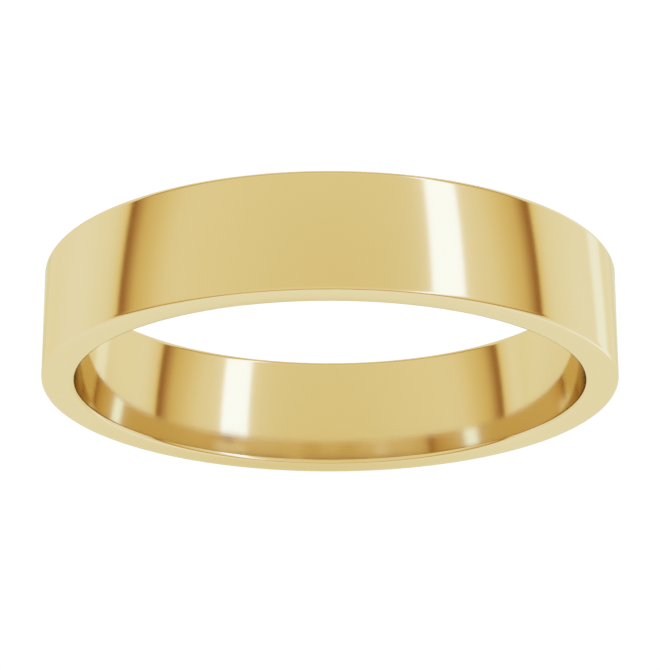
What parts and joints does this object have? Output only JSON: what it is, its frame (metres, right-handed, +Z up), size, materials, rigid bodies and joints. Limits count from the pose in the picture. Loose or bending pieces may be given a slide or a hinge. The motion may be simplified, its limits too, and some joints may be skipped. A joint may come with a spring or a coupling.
{
  "type": "wedding band",
  "caption": "Plain flat wedding band of polished yellow gold: a closed ring of even width with eased corners and an open bore for a finger.",
  "frame": {"origin": "centre of the band: on the finger's axis, halfway across the band's width", "axes": "+Y along the finger, +Z up with the band standing on its edge as a wheel would, +X across"},
  "size_m": [0.0196, 0.004, 0.0196],
  "materials": {
    "gold": "polished"
  },
  "bodies": {
    "root": {"band": "gold"}
  },
  "joints": []
}
